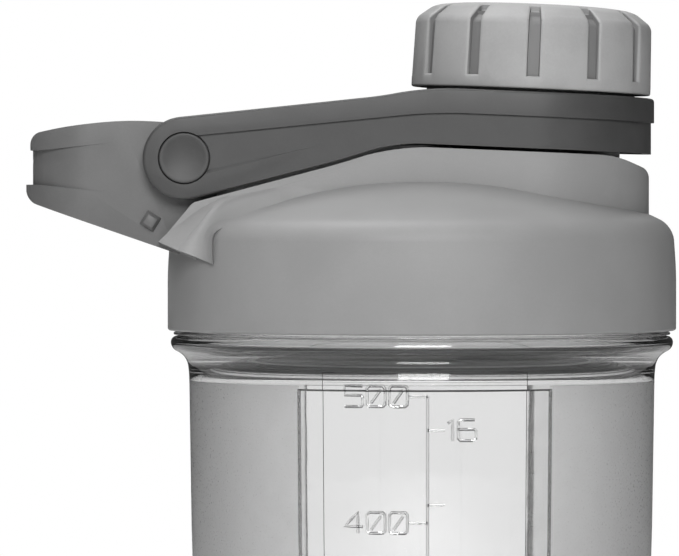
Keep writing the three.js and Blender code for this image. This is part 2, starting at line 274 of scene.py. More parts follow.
def bar(name, radius, low, high, place=(0, 0), steps=64):
    clearSelection()
    bpy.ops.mesh.primitive_cylinder_add(vertices=steps, radius=radius * mm, depth=(high - low) * mm,
                                        location=(place[0] * mm, (low + high) / 2 * mm, place[1] * mm),
                                        rotation=(math.pi / 2, 0, 0))
    piece = bpy.context.object
    piece.name = name
    bpy.ops.object.transform_apply(location=True, rotation=True, scale=True)
    return piece


# a screw thread's ridge: a round section run up a helix and closed at both ends
def threadRidge(name, radius, height, lead, turns, size, startAngle=0, steps=72):
    clearSelection()
    bpy.ops.mesh.primitive_circle_add(vertices=10, radius=size * mm, rotation=(math.pi / 2, 0, 0),
                                      location=(radius * mm, 0, height * mm))
    ridge = bpy.context.object
    ridge.name = name
    bpy.ops.object.transform_apply(location=True, rotation=True, scale=True)
    applyModifier(ridge, "SCREW", angle=turns * math.tau, screw_offset=lead * turns * mm,
                  steps=int(steps * turns), render_steps=int(steps * turns), use_merge_vertices=False)
    bpy.ops.object.mode_set(mode="EDIT")
    bpy.ops.mesh.select_all(action="SELECT")
    bpy.ops.mesh.fill_holes(sides=0)
    closeMesh()
    return moveTo(ridge, turn=(0, 0, startAngle))


def finishPiece(piece, body, node, finish, smoothAngle=32):
    choose(piece)
    bpy.ops.object.transform_apply(location=True, rotation=True, scale=True)
    bpy.ops.object.shade_smooth_by_angle(angle=math.radians(smoothAngle))
    piece.data.materials.clear()
    piece.data.materials.append(finish)
    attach(piece, body)
    if node:
        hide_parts(node)
    return piece


# ---- shader helpers ----
# a value travelling between shader nodes, which can be worked with like a number
class Signal:
    def __init__(self, sheet, socket):
        self.sheet = sheet
        self.socket = socket

    def __add__(self, other):
        return self.sheet.sum("ADD", self, other)

    def __sub__(self, other):
        return self.sheet.sum("SUBTRACT", self, other)

    def __rsub__(self, other):
        return self.sheet.sum("SUBTRACT", other, self)

    def __mul__(self, other):
        return self.sheet.sum("MULTIPLY", self, other)

    def __truediv__(self, other):
        return self.sheet.sum("DIVIDE", self, other)

    def __gt__(self, other):
        return self.sheet.sum("GREATER_THAN", self, other)

    def __lt__(self, other):
        return self.sheet.sum("LESS_THAN", self, other)

    __radd__ = __add__
    __rmul__ = __mul__


# the nodes of one material or of the surroundings
class Sheet:
    def __init__(self, tree):
        self.tree = tree

    def node(self, kind, settings, inputs, output=0):
        made = self.tree.nodes.new("ShaderNode" + kind)
        for name, value in settings.items():
            setattr(made, name, value)
        for name, value in inputs.items():
            socket = next(s for s in made.inputs if name in (s.identifier, s.name))
            if isinstance(value, Signal):
                self.tree.links.new(value.socket, socket)
            else:
                socket.default_value = value
        return Signal(self, made.outputs[output])

    def sum(self, operation, first, second):
        return self.node("Math", {"operation": operation}, {"Value": first, "Value_001": second})

    def smoothStep(self, value, low, high):
        return self.node("MapRange", {"interpolation_type": "SMOOTHSTEP"},
                         {"Value": value, "From Min": low, "From Max": high})

    # the Mix node's result for colours is its third output
    def blend(self, first, second, share):
        return self.node("Mix", {"data_type": "RGBA"},
                         {"Factor_Float": share, "A_Color": first, "B_Color": second}, 2)

    # the three parts of a place
    def parts(self, place):
        return [self.node("SeparateXYZ", {}, {"Vector": place}, axis) for axis in "XYZ"]

    def feed(self, value, target, name):
        self.tree.links.new(value.socket, self.tree.nodes[target].inputs[name])


class Finish(Sheet):
    def __init__(self, name, **constants):
        self.material = bpy.data.materials.new(name)
        self.material.use_nodes = True
        super().__init__(self.material.node_tree)
        for socket, value in constants.items():
            self.tree.nodes["Principled BSDF"].inputs[socket.replace("_", " ")].default_value = value
        self.place = self.node("TexCoord", {}, {}, "Object")

    def noise(self, size, detail=3, roughness=0.5):
        return self.node("TexNoise", {}, {"Vector": self.place, "Scale": 1 / (size * mm),
                                          "Detail": detail, "Roughness": roughness})

    def set(self, name, value):
        self.feed(value, "Principled BSDF", name)

    def bump(self, height, depth, strength=1.0, under=None):
        inputs = {"Height": height, "Distance": depth * mm, "Strength": strength}
        if under:
            inputs["Normal"] = under
        return self.node("Bump", {}, inputs)


def shade(grey, warmth=0.0):
    return (grey * (1 + warmth), grey, grey * (1 - warmth), 1)


# satin moulded plastic: a slow drift of tone, fine spark-eroded grain and faint flow marks, and painted shade
# where a mask is given
def mouldedPlastic(name, look, shaded=None):
    finish = Finish(name, Specular_IOR_Level=look["gloss"], Coat_Weight=0.0)
    drift = finish.noise(look["driftSize"], detail=4)
    fleck = finish.noise(0.5, detail=2, roughness=0.7)
    tone = finish.smoothStep(drift * 0.75 + fleck * 0.25, 0.35, 0.65)
    grey, spread = look["grey"], look["spread"]
    warmth = look.get("warmth", 0.0)
    colour = finish.blend(shade(grey * (1 - spread), warmth), shade(grey * (1 + spread), warmth), tone)
    # painted shade: where the mask is given, the colour is blended towards a darker grey
    if shaded:
        colour = finish.blend(colour, shade(grey * look["shade"], warmth), shaded(finish))
    finish.set("Base Color", colour)
    finish.set("Roughness", look["rough"] + (drift - 0.5) * 0.18 + (fleck - 0.5) * 0.08)
    grain = finish.noise(look["grainSize"], detail=3, roughness=0.6)
    flow = finish.noise(9, detail=2)
    finish.set("Normal", finish.bump(grain, look["grainDepth"], under=finish.bump(flow, 0.25, 0.35)))
    return finish.material


lidLook = {"grey": 0.215, "spread": 0.035, "rough": 0.56, "gloss": 0.42, "driftSize": 14,
           "grainSize": 0.22, "grainDepth": 0.012}
# the cap's shade is the grey of the painted shade in the grip's grooves
capLook = {**lidLook, "grey": 0.27, "rough": 0.58, "spread": 0.06, "driftSize": 7, "shade": 0.5}
loopLook = {**lidLook, "grey": 0.1, "rough": 0.54, "spread": 0.06, "driftSize": 9}
strapLook = {**lidLook, "grey": 0.04, "rough": 0.52, "spread": 0.1, "driftSize": 8, "grainDepth": 0.01}
agitatorLook = {**lidLook, "grey": 0.36, "warmth": 0.045, "rough": 0.42, "spread": 0.04, "driftSize": 11}
sealLook = {"grey": 0.6, "spread": 0.03, "rough": 0.55, "gloss": 0.35, "driftSize": 10,
            "grainSize": 0.4, "grainDepth": 0.01}

print("helpers and plastics ready")

# ---- camera, floor and light ----
studio = {"distance": 980, "lens": 296.9, "eye": 21.7, "aim": 9.1, "across": -14.4, "floorRadius": 1250,
          "backdrop": 1.0, "surround": 0.05, "bandEdge": 0.16, "bandEnd": 0.5, "aboveBand": 0.1}
lamps = {  # place in metres, size, power
    "key": ((0.0, -1.15, 0.68), 0.55, 16),
    "top": ((-0.2, 0.05, 1.0), 0.6, 8),
    "rear": ((0.1, 0.9, 0.8), 0.6, 2),
}


# a white backdrop, a bright band at eye height behind clear plastic, and grey as a light
def surroundings():
    world = bpy.data.worlds.new("studio")
    bpy.context.scene.world = world
    world.use_nodes = True
    sky = Sheet(world.node_tree)

    def mapped(value, kind, fromMin, fromMax, toMin, toMax):
        return sky.node("MapRange", {"interpolation_type": kind}, {
            "Value": value, "From Min": fromMin, "From Max": fromMax, "To Min": toMin, "To Max": toMax})

    height = sky.sum("ABSOLUTE", sky.parts(sky.node("TexCoord", {}, {}, "Generated"))[2], 0)
    band = mapped(height, "SMOOTHSTEP", studio["bandEdge"], studio["bandEnd"], studio["backdrop"],
                  studio["aboveBand"])
    through = sky.node("LightPath", {}, {}, "Is Transmission Ray")
    seen = sky.node("LightPath", {}, {}, "Is Camera Ray")
    throughClear = mapped(through, "LINEAR", 0.0, 1.0, studio["surround"], band)
    sky.feed(mapped(seen, "LINEAR", 0.0, 1.0, throughClear, studio["backdrop"]), "Background", "Strength")
    world.node_tree.nodes["Background"].inputs["Color"].default_value = (1, 1, 1, 1)


def setUpStudio():
    target = Vector((studio["across"], 0, lidFoot + studio["aim"])) * mm
    eye = Vector((studio["across"], -studio["distance"], lidFoot + studio["eye"])) * mm
    bpy.ops.object.camera_add(location=eye, rotation=(target - eye).to_track_quat("-Z", "Y").to_euler())
    camera = bpy.context.object
    camera.data.lens = studio["lens"]
    camera.data.sensor_width = 36
    camera.data.clip_end = 20
    bpy.context.scene.camera = camera
    middle = Vector((0, 0, lidFoot * mm))
    for name, (place, size, power) in lamps.items():
        turn = (middle - Vector(place)).to_track_quat("-Z", "Y").to_euler()
        bpy.ops.object.light_add(type="AREA", location=place, rotation=turn)
        lamp = bpy.context.object
        lamp.name = name
        lamp.data.size = size
        lamp.data.energy = power
    clearSelection()
    bpy.ops.mesh.primitive_circle_add(vertices=128, radius=studio["floorRadius"] * mm, fill_type="NGON",
                                      location=(0, 0, 0))
    floor = bpy.context.object
    floor.name = "floor"
    pale = Finish("paleFloor", Roughness=0.7, Specular_IOR_Level=0.3)
    pale.set("Base Color", pale.blend((0.86, 0.86, 0.86, 1), (0.9, 0.9, 0.9, 1), pale.noise(60)))
    floor.data.materials.append(pale.material)
    surroundings()
    bpy.context.scene.view_settings.view_transform = "Standard"


setUpStudio()
print("studio ready")

# ---- the cup ----
cup = {"footR": 33.5, "lowR": 36.8, "lowZ": 5, "shoulderR": 40.2, "shoulderDrop": 40, "bodyR": 40.7,
       "bodyDrop": 7.3, "wall": 1.8, "floor": 2.4, "beadR": 43.9, "neckR": 40.3, "neckInner": 38.4, "rim": 14,
       "panelAngle": 32, "innerAngle": 26, "panelDepth": 0.6, "panelLow": 12, "panelDrop": 9.2,
       "threadUp": 3.2, "threadLead": 8, "threadTurns": 1.1, "threadR": 1.2, "spinSteps": 180,
       "greyness": 140, "bend": 1.54, "clearTone": 0.955, "frostedTone": 0.90}


def makeCup():
    foot, body = lidFoot - cup["shoulderDrop"], lidFoot - cup["bodyDrop"]
    wall, floor, low = cup["wall"], cup["floor"], cup["lowR"]
    flange, rim = lidFoot - 0.3, lidFoot + cup["rim"]
    panelTop = lidFoot - cup["panelDrop"]
    outline = [
        (0, 0), (12, 0, 0.3), (13, 1, 0.3), (27, 1, 0.3), (28, 0, 0.3), (cup["footR"], 0, 1.0),
        (low - 0.4, 1.6, 1.5), (low, cup["lowZ"], 1.2), (low + 0.28, cup["panelLow"]),
        (cup["shoulderR"], foot, 6),
        (cup["bodyR"] - 0.03, panelTop), (cup["bodyR"], body, 1.5), (41.0, body + 2.0, 1.0),
        (42.0, body + 3.3, 1.0),
        (cup["beadR"], body + 4.2, 1.0), (cup["beadR"], body + 6.2, 0.9), (42.5, body + 6.35, 0.1),
        (42.5, body + 6.6, 0.1), (43.4, body + 6.6, 0.1), (43.4, flange, 0.15), (cup["neckR"], flange, 0.4),
        (cup["neckR"], rim, 0.5), (cup["neckInner"], rim, 0.5), (cup["neckInner"], body + 3, 1.5),
        (cup["bodyR"] - wall, body, 1.5), (cup["shoulderR"] - wall, foot, 6), (low - wall, floor + 4, 3.5),
        (low - wall - 4.4, floor, 2.0), (0, floor),
    ]
    piece = lathe("cup_clear", outline, cup["spinSteps"])

    # the polished front and rear panels are let in: their faces are inset and pushed back
    def onPanel(co, normal):
        outside = math.hypot(co.x, co.y) > 0.5 * (2 * low - wall) - 0.5 and facesOut(co, normal)
        return sideways(co) < cup["panelAngle"] and cup["panelLow"] < co.z < panelTop and outside

    pick(piece, "FACE", onPanel)
    bpy.ops.mesh.inset(thickness=0.35 * mm, depth=-cup["panelDepth"] * mm, use_even_offset=True)

    def onInnerPanel(co, normal):
        inside = normal.x * co.x + normal.y * co.y < 0
        return sideways(co) < cup["innerAngle"] and floor + 8 < co.z < panelTop + 3 and inside

    pick(piece, "FACE", onInnerPanel)
    bpy.ops.mesh.inset(thickness=0.15 * mm, depth=-0.12 * mm, use_even_offset=True)
    bpy.ops.object.mode_set(mode="OBJECT")
    ridge = threadRidge("cupThread", cup["neckR"], lidFoot + cup["threadUp"], cup["threadLead"],
                        cup["threadTurns"], cup["threadR"])
    return join(piece, ridge)


def clearPlastic():
    finish = Finish("clearCup", IOR=cup["bend"], Transmission_Weight=1.0, Specular_IOR_Level=0.5)
    x, y, z = finish.parts(finish.place)
    slope = math.tan(math.radians(cup["panelAngle"] + 0.4))
    across = finish.sum("ABSOLUTE", x, 0) / finish.sum("MAXIMUM", finish.sum("ABSOLUTE", y, 0), 0.0001)
    onSide = across > slope
    frostTop = (lidFoot - cup["panelDrop"] + 0.5) * mm
    inFrost = onSide * (z < frostTop) * (z > (cup["panelLow"] - 2) * mm)
    grain = finish.noise(0.35, detail=3, roughness=0.7)
    blotch = finish.noise(3.0, detail=3)
    ripple = finish.noise(5.0, detail=1)
    finish.set("Roughness", 0.03 + inFrost * (0.2 + grain * 0.12))
    tint = finish.smoothStep(blotch * 0.6 + grain * 0.4, 0.3, 0.7)
    frosted = finish.blend(shade(cup["frostedTone"]), shade(1.0), tint)
    finish.set("Base Color", finish.blend(shade(cup["clearTone"]), frosted, inFrost))
    # thick plastic is greyer than thin
    depth = finish.node("VolumeAbsorption", {}, {"Color": shade(0.5), "Density": cup["greyness"]})
    finish.feed(depth, "Material Output", "Volume")
    rippled = finish.bump(ripple, 0.02, 0.5)
    finish.set("Normal", finish.bump(grain * inFrost, 0.05, 1.0, rippled))
    return finish.material


# raised graduations on the front panel: millilitres on the left of the scale, fluid ounces on the right
marks = {"fullMl": 500, "fullDrop": 10.3, "ounceMl": 29.57, "strokeR": 0.26, "digitStep": 3.75,
         "digitHeight": 3.5, "oneIsNarrower": 2, "lineX": 0.4, "mlTickX": -2.8, "ozTickX": 3.2,
         "mlLabelX": -13.5, "ozLabelX": 3.8, "low": 22, "bendStep": 1.2, "lift": 0.03, "fillStep": 0.05}
digits = {
    "0": [[(0.4, 0), (2.6, 0), (3, 0.4), (3, 3.1), (2.6, 3.5), (0.4, 3.5), (0, 3.1), (0, 0.4), (0.4, 0)],
          [(0.7, 0.6), (2.3, 2.9)]],
    "1": [[(0, 2.9), (0.8, 3.5), (0.8, 0)]],
    "2": [[(0, 3.5), (2.7, 3.5), (3, 3.2), (3, 2.0), (2.7, 1.8), (0.3, 1.8), (0, 1.5), (0, 0), (3, 0)]],
    "3": [[(0, 3.5), (2.7, 3.5), (3, 3.2), (3, 0.3), (2.7, 0), (0, 0)], [(0.7, 1.8), (3, 1.8)]],
    "4": [[(2.2, 0), (2.2, 3.5), (0, 1.1), (3, 1.1)]],
    "5": [[(3, 3.5), (0, 3.5), (0, 1.9), (2.7, 1.9), (3, 1.6), (3, 0.3), (2.7, 0), (0, 0)]],
    "6": [[(2.8, 3.5), (0.4, 3.5), (0, 3.1), (0, 0.4), (0.4, 0), (2.6, 0), (3, 0.4), (3, 1.6), (2.7, 1.9),
           (0, 1.9)]],
    "8": [[(0.4, 0), (2.6, 0), (3, 0.4), (3, 1.5), (2.7, 1.8), (0.3, 1.8), (0, 1.5), (0, 0.4), (0.4, 0)],
          [(0.3, 1.8), (0, 2.1), (0, 3.1), (0.4, 3.5), (2.6, 3.5), (3, 3.1), (3, 2.1), (2.7, 1.8)]],
}


def wallRadius(z):
    foot, top = lidFoot - cup["shoulderDrop"], lidFoot - cup["bodyDrop"]
    if z < foot:
        return cup["lowR"] + (cup["shoulderR"] - cup["lowR"]) * (z - cup["lowZ"]) / (foot - cup["lowZ"])
    return cup["shoulderR"] + (cup["bodyR"] - cup["shoulderR"]) * (z - foot) / (top - foot)


# the height of a filling, stepping down from the full mark through the cup's own volume
def fillHeight(millilitres):
    height, left = lidFoot - marks["fullDrop"], marks["fullMl"] - millilitres
    while left > 0:
        height -= marks["fillStep"]
        left -= math.pi * (wallRadius(height) - cup["wall"]) ** 2 * marks["fillStep"] / 1000
    return height


def makeMarks():
    strokes = []
    lineX, half = marks["lineX"], marks["digitHeight"] / 2

    def label(text, x, z):
        for digit in text:
            strokes.extend([(x + a, z - half + b) for a, b in stroke] for stroke in digits[digit])
            x += marks["digitStep"] - (marks["oneIsNarrower"] if digit == "1" else 0)

    for amount in (500, 400, 300, 200, 100):
        z = fillHeight(amount)
        label(str(amount), marks["mlLabelX"], z)
        strokes.append([(marks["mlTickX"], z), (lineX, z)])
    for ounces in (16, 14, 12, 10, 8, 6, 4, 2):
        z = fillHeight(ounces * marks["ounceMl"])
        strokes.append([(lineX, z), (marks["ozTickX"], z)])
        if ounces % 4 == 0:
            label(str(ounces), marks["ozLabelX"] if ounces > 9 else marks["ozLabelX"] + 0.4, z)
    strokes.append([(lineX, fillHeight(500)), (lineX, marks["low"])])
    # each stroke is bent round the panel
    wires = []
    for stroke in strokes:
        places = []
        for (x, z), (nextX, nextZ) in zip(stroke, stroke[1:] + stroke[-1:]):
            parts = max(1, round(math.hypot(nextX - x, nextZ - z) / marks["bendStep"]))
            for k in range(parts):
                px, pz = x + (nextX - x) * k / parts, z + (nextZ - z) * k / parts
                radius = wallRadius(pz) - cup["panelDepth"] + marks["lift"]
                places.append(Vector((px, -math.sqrt(radius ** 2 - px ** 2), pz)) * mm)
        wires.append(drawLine("scale_marks", places, False))
    gather(wires)
    bpy.ops.object.convert(target="CURVE")
    piece = bpy.context.object
    piece.data.bevel_depth = marks["strokeR"] * mm
    piece.data.bevel_resolution = 2
    piece.data.use_fill_caps = True
    bpy.ops.object.convert(target="MESH")
    return bpy.context.object


clearFinish = clearPlastic()
finishPiece(makeCup(), "cup", "cup", clearFinish)
finishPiece(makeMarks(), "cup", None, clearFinish)
print("cup modelled")


# ---- the lid: screw shell, raised top with flared cheeks, ears and spout ----
lid = {"r": 44.45, "innerR": 42, "seatR": 36.5, "seatZ": 16.8, "domeR": 39.4, "domeZ": 20.5, "apexZ": 27.5,
       "shell": 2.2, "deckR": 21.1, "deckEdge": 0.9, "earInner": 9, "earOuter": 13.9, "earR": 5.6,
       "spoutBaseR": 16, "spoutR": 15.3, "spoutTipR": 13.6, "boreR": 12, "spoutTop": 20,
       "padHalf": 17.5, "padHeight": 1.1, "lipHalf": 14, "lipHeight": 0.45, "ridgeUp": 4.4, "ridgeTurns": 0.9,
       "ridgeR": 1.15}
capThread = {"lead": 4, "turns": 0.75, "ridgeR": 0.7, "spoutUp": 5, "linerUp": 4.8}
ramp = {"rearX": -39.5, "rearZ": 22.3, "frontX": -13, "frontZ": 29.3, "footX": -45.3, "footZ": 15.4}
legSlot = {"inner": 13.9, "outer": 17.8, "frontX": -35.2}
pinHoleR = 2.3


def deckAt(x):
    return deckZ - (x - spoutX) * math.tan(spoutLean)


def arc(x, z, r, start, end, steps):
    turns = (math.radians(start + (end - start) * k / steps) for k in range(steps + 1))
    return [(x + r * math.cos(turn), z + r * math.sin(turn)) for turn in turns]


def roundEnded(name, r, rearX, low, high):
    front = spoutX + r
    return slab(name, [(rearX, -r), (front, -r, r), (front, r, r), (rearX, r)], "XY", low, high, 26)


def raisedTop(drop, r, rearX, hollow):
    front = spoutX + lid["deckR"]
    lowFront = deckAt(front) - 2.3 - drop
    side = [(front - drop, 12), (front - drop, lowFront, 1.6), (front - 6.5, deckAt(front - 6.5) - drop, 2.5),
            (-5, deckAt(-5) - drop, 6), (ramp["frontX"] - 1, ramp["frontZ"] - 0.25 - drop, 3)]
    if hollow:
        side += [(rearX, ramp["rearZ"] + (rearX - ramp["rearX"]) * 0.264 - drop), (rearX, 12)]
    else:
        side += [(ramp["rearX"], ramp["rearZ"] - drop, 0.5), (ramp["footX"], ramp["footZ"], 0.4), (-38, 12)]
    plan = roundEnded("raisedPlan", r, rearX, 11, 45)
    return overlap(plan, slab("raisedSide", side, "XZ", -30, 30, 8))


# the cheek that flares out from the raised top's flank round the carry loop's leg
def cheek():
    inner = 16
    edges = [  # rear edge, crease, two places that draw the hollow sweep in, front edge, inner front
        [(-45.4, 21.4, 15.6), (-42.2, 23.6, 14.2), (-40.4, 23.0, 13.6), (-37.6, 23.4, 12.4),
         (-36, 26.9, 11.8), (-33, inner, 11.8)],
        [(-42.0, 20.9, 18.9), (-38.6, 22.3, 18.4), (-37.6, 21.9, 18.0), (-36.4, 22.6, 17.2),
         (-36, 26.5, 16.4), (-33, inner, 14)],
        [(-38.75, 20.6, 22.2), (-34.6, 21.2, 22.9), (-34.3, 21.3, 21.8), (-33.9, 22.4, 19.8),
         (-34.4, 26.2, 18.0), (-32, inner, 14)],
        [(-33.5, 20.8, 23.6), (-31.5, 21.1, 23.9), (-31.2, 21.3, 22.8), (-30.9, 23.0, 20.9),
         (-30.7, 27.2, 19.5), (-30, inner, 14)],
        [(-28.6, 20.6, 24.9), (-27.4, 20.95, 24.8), (-27.3, 21.2, 24.0), (-27.2, 22.6, 22.2),
         (-27.2, 25.5, 20.6), (-27, inner, 14)],
        [(-22.6, 20.6, 26.3), (-22.4, 20.95, 26.0), (-22.3, 21.0, 25.4), (-22.3, 21.2, 24.2),
         (-22.3, 22.2, 22.4), (-22, inner, 14)],
        [(-14.3, 20.4, 28.0), (-14.3, 20.7, 27.8), (-14.3, 20.75, 27.0), (-14.3, 20.8, 25.8),
         (-14.3, 20.8, 23.6), (-14.3, inner, 14)],
    ]
    ribs = []
    for rear, crease, towards, near, front, innerFront in edges:
        sweep = curve(crease, towards, near, front, 8)
        ribs.append([(rear[0], inner, rear[2]), rear, *sweep, innerFront])
    return bothSides(loft("cheek", moreRibs(ribs, 4)))


def ears():
    shape = [(-42, 14), (-28, 14), (-28, 25.2), *arc(pivotX, pivotZ, lid["earR"], 38, 180, 24)]
    return bothSides(soften(slab("ears", shape, "XZ", lid["earInner"], lid["earOuter"]), 0.35, 50, 2))


def makeLid():
    r, shell, deckR = lid["r"], lid["shell"], lid["deckR"]
    piece = lathe("lid_body", [
        (0, -1), (lid["innerR"] - 1, -1), (lid["innerR"] - 1, 0), (r, 0, 0.45), (r, 10.9, 3.5),
        (44.15, 14.6, 1.5),
        (43.95, 18.2, 3.4), (lid["domeR"] - 0.6, lid["domeZ"] + 0.25, 2.5), (deckR, 26.1, 4),
        (0, lid["apexZ"])])
    raised = soften(raisedTop(0, deckR, ramp["footX"] - 1, False), lid["deckEdge"], 50, 3)
    # a pad fills the view under the strap's arms
    half = lid["padHalf"]
    pad = overlap(slab("pad", [(-31, -half), (-4, -half), (-4, half), (-31, half)], "XY", 20, 45),
                  raisedTop(-lid["padHeight"], deckR, ramp["footX"] - 1, False))
    half = lid["lipHalf"]
    lip = overlap(slab("lip", [(-5, -half), (5, -half), (5, half), (-5, half)], "XY", 20, 45),
                  raisedTop(-lid["lipHeight"], deckR, ramp["footX"] - 1, False))
    join(raised, soften(pad, 0.35, 50, 2), lip)
    spoutWall = onSpout(lathe("spout", [
        (0, -4), (lid["spoutBaseR"], -4), (lid["spoutBaseR"], 1, 0.4), (lid["spoutR"], 2, 0.5),
        (lid["spoutR"], 10, 1), (lid["spoutTipR"], lid["spoutTop"], 0.7), (0, lid["spoutTop"])], 120))
    spoutRidge = onSpout(threadRidge("spoutRidge", lid["spoutR"], capThread["spoutUp"], capThread["lead"],
                                     capThread["turns"], capThread["ridgeR"], math.pi / 2))
    upper = join(raised, cheek(), ears())
    frontX = legSlot["frontX"]
    slots = bothSides(slab("slots", [(-52, 0), (frontX, 0), (frontX, 40), (-52, 40)], "XZ",
                           legSlot["inner"], legSlot["outer"]))
    holes = bar("pinHoles", pinHoleR, -14, 14, (pivotX, pivotZ), 40)
    cut(upper, slots, holes)
    join(piece, upper, spoutWall, spoutRidge)
    inside = lathe("inside", [
        (0, -2), (lid["innerR"], -2), (lid["innerR"], lid["seatZ"]), (lid["seatR"], lid["seatZ"], 0.3),
        (lid["seatR"], lid["domeZ"] - 1.4, 2), (deckR, 26.1 - shell, 4), (0, lid["apexZ"] - shell)])
    hollow = raisedTop(shell, deckR - shell, -34, True)
    bore = onSpout(lathe("bore", [(0, -9), (lid["boreR"], -9), (lid["boreR"], lid["spoutTop"] - 0.4),
                                  (lid["boreR"] + 0.5, lid["spoutTop"] + 1), (0, lid["spoutTop"] + 1)], 96))
    cut(piece, inside, hollow, bore)
    ridge = threadRidge("lidRidge", lid["innerR"], lid["ridgeUp"], cup["threadLead"], lid["ridgeTurns"],
                        lid["ridgeR"], math.pi)
    return onLid(join(piece, ridge))


finishPiece(makeLid(), "lid", "lid_shell", mouldedPlastic("lidPlastic", lidLook), 24)
print("lid modelled")

# ---- the carry loop and its pins ----
loop = {"inner": 14.2, "outer": 17.5, "rootX": -35.5, "endX": -68.85, "cornerR": 11, "groove": 1.2,
        "fadeX": -54, "edge": 0.7, "nubX": -46.9, "nubZ": 19.1}


def loopPlan(name, half, endX, cornerR, low, high):
    root = loop["rootX"]
    return slab(name, [(root, -half), (root, half), (endX, half, cornerR), (endX, -half, cornerR)], "XY",
                low, high, 12)


def makeLoop():
    side = [(loop["rootX"], 22), (loop["rootX"], 31), (-38.6, 35.4, 3.2), (-46.5, 36.5, 5), (-58, 36.1, 6),
            (-67.9, 34.1, 1.8), (-67.9, 31.2, 0.6), (-67.2, 28.8, 1.6), (-68.8, 26.2, 0.8),
            (-68.9, 22.7, 2.2), (-42, 13.4)]
    body = overlap(loopPlan("carry_loop_body", loop["outer"], loop["endX"], loop["cornerR"], 8, 40),
                   slab("loopSide", side, "XZ", -25, 25))
    soften(body, loop["edge"], 40, 3)
    root, inner, wall = loop["rootX"], loop["inner"], loop["outer"] - loop["inner"]
    opening = loopPlan("opening", inner, loop["endX"] + wall, loop["cornerR"] - wall, 7, 41)
    rearRoom = slab("rearRoom", [(root - 4, -inner), (root + 4, -inner), (root + 4, inner),
                                 (root - 4, inner)], "XY", 7, 41)
    # the channel round the loop's outside, deepest at the rear
    rearX, fadeX, reach = loop["endX"] + loop["groove"], loop["fadeX"], loop["outer"] + 0.05
    rearR = loop["cornerR"] - loop["groove"]
    channel = cut(loopPlan("channel", loop["outer"] + 6, loop["endX"] - 6, loop["cornerR"] + 6, 8, 40),
                  slab("channelCore", [(root, -reach), (root, reach), (fadeX, reach, 3),
                                       (rearX, reach - 0.8, rearR), (rearX, 0.8 - reach, rearR),
                                       (fadeX, -reach, 3)], "XY", 7, 41, 12))
    overlap(channel, slab("channelSide", [(-80, 25.4), (-66.5, 25.4, 1), (-49.5, 23.5, 0.6),
                                          (-49.5, 33.0, 0.6), (-66, 31.3, 1), (-80, 31.3)], "XZ", -30, 30))
    lidRoom = lathe("lidRoom", [(0, -2), (lid["r"] + 0.3, -2), (lid["r"] + 0.3, 15.4), (44.3, 18.6, 2),
                                (lid["domeR"] + 0.4, lid["domeZ"] + 0.6), (0, 32)], 120)
    cut(body, opening, rearRoom, channel, lidRoom, bar("pinHole", pinHoleR, -25, 25, (pivotX, pivotZ), 40))
    # the square nub on each leg narrows outward
    corners = ((1, 0.25), (-0.25, 1), (-1, -0.25), (0.25, -1))
    nub = loft("nub", [[(loop["nubX"] + a * w, loop["outer"] + out, loop["nubZ"] + b * w) for a, b in corners]
                       for w, out in ((2.1, -0.5), (1.85, 0.2), (1.3, 1.5), (0.9, 1.65))])
    return onLid(join(body, bothSides(soften(nub, 0.18, 40, 2))))


finishPiece(makeLoop(), "lid", "carry_loop", mouldedPlastic("loopPlastic", loopLook))

pin = {"r": 2.2, "headR": 4.35, "headT": 1.2, "dishR": 14.5, "dishDepth": 0.5, "face": 21.9}


def makePin(name, side):
    face, dishR = pin["face"], pin["dishR"]
    rim = math.sqrt(dishR ** 2 - (dishR - pin["dishDepth"]) ** 2)
    dish = [(dishR * math.sin(a), face + dishR - pin["dishDepth"] - dishR * math.cos(a))
            for a in (math.asin(rim / dishR) * k / 8 for k in range(8))]
    piece = lathe(name, [(0, lid["earInner"]), (pin["r"], lid["earInner"], 0.3),
                         (pin["r"], face - pin["headT"]),
                         (pin["headR"], face - pin["headT"], 0.25), (pin["headR"], face, 0.3),
                         (rim, face, 0.25),
                         *reversed(dish)], 96)
    moveTo(piece, turn=(-side * math.pi / 2, 0, 0))
    return onLid(moveTo(piece, (pivotX * mm, 0, pivotZ * mm)))


for end, side in (("Front", -1), ("Rear", 1)):
    pinNode = "pivot_pin_" + end.lower()
    finishPiece(makePin(pinNode + "_head", side), "lid", pinNode,
                mouldedPlastic("pinPlastic" + end, strapLook))
print("carry loop and pins modelled")

# ---- the strap that holds the cap ----
strap = {"inner": 18.1, "outer": 22.0, "ringR": 18.6, "endR": 7.1, "low": 0.6, "high": 10.3, "edge": 0.55,
         "recess": 0.55, "step": 6.1, "counterboreR": 20.1, "counterboreZ": 5.7}


